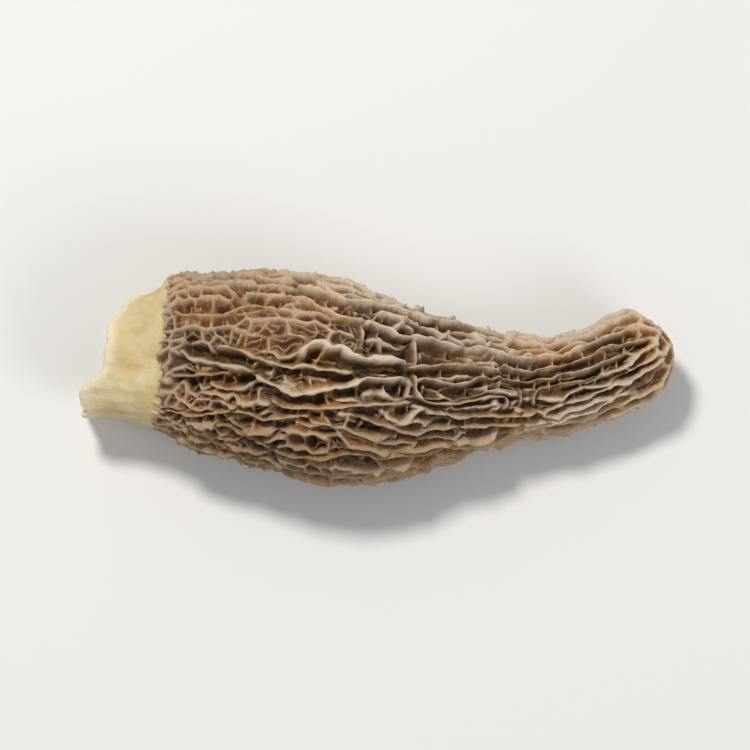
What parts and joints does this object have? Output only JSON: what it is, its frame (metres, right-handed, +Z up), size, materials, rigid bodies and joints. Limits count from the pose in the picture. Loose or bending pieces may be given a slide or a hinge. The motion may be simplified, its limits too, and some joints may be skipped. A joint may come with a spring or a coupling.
{
  "type": "dried morel mushroom",
  "caption": "Dried morel mushroom lying on its side: a hollow, horn-shaped cap of wavy lengthwise ridges and pits, on a short pale stem cut off obliquely.",
  "frame": {"origin": "on the surface the mushroom lies on, under the middle of its box", "axes": "+X from the cut stem towards the tip of the cap, +Y towards the side that the stem leans to, +Z up, out of the surface it lies on"},
  "size_m": [0.068, 0.0242, 0.0183],
  "materials": {
    "dried_flesh": "matte, dry and leathery: brown with pale worn ridge crests, near-black pits and a cream stem"
  },
  "bodies": {
    "root": {"dried_morel": "dried_flesh"}
  },
  "joints": []
}
